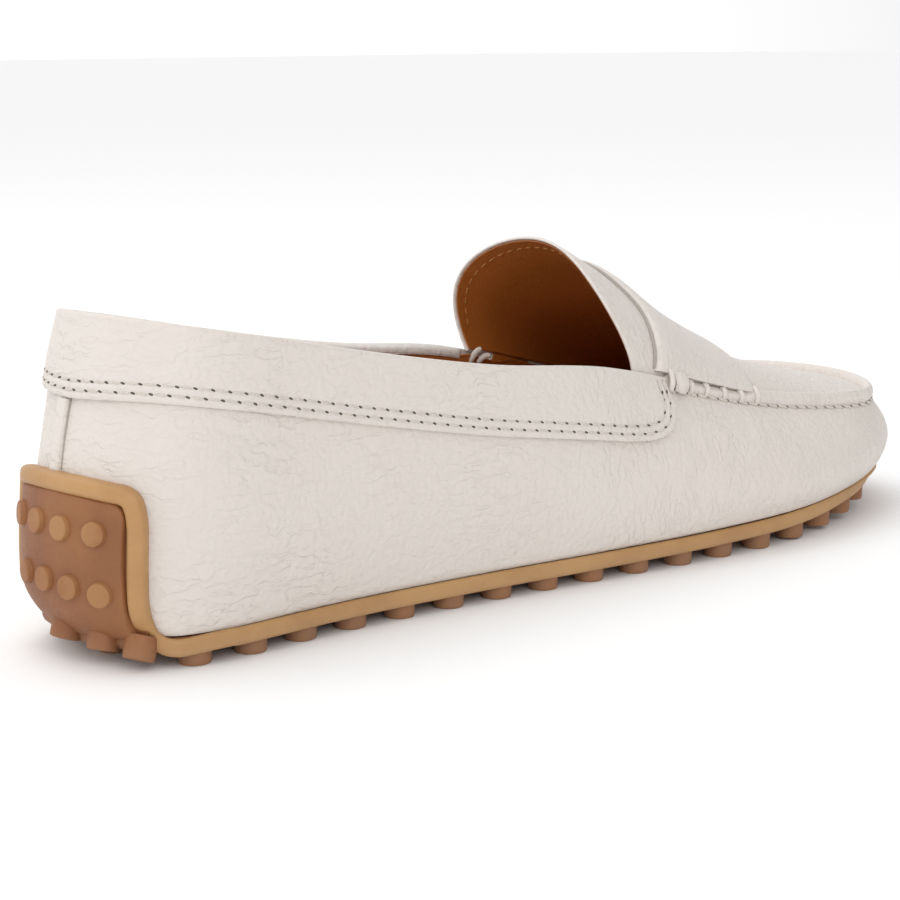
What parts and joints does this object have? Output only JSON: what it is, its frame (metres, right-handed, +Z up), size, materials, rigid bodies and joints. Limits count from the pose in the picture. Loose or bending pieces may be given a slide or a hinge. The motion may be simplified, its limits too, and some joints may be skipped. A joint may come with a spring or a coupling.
{
  "type": "driving moccasin",
  "caption": "Low slip-on driving moccasin with a raised apron seam, a slotted strap over the instep, a cuffed collar and a studded rubber sole that climbs the back of the heel.",
  "frame": {"origin": "middle of the shoe's bounding box at floor level", "axes": "+X to the toe, +Y to the left, which is the inner side of this right shoe, +Z up"},
  "size_m": [0.2598, 0.0876, 0.075],
  "materials": {
    "upper_leather": "fine grained, satin",
    "sole_rubber": "matt",
    "panel_rubber": "matt",
    "insole_leather": "smooth, satin"
  },
  "bodies": {
    "root": {"upper": "upper_leather", "collar_cuff": "upper_leather", "apron_strap": "upper_leather", "heel_tape": "upper_leather", "outsole": "sole_rubber", "heel_panel": "panel_rubber", "insole": "insole_leather"}
  },
  "joints": []
}
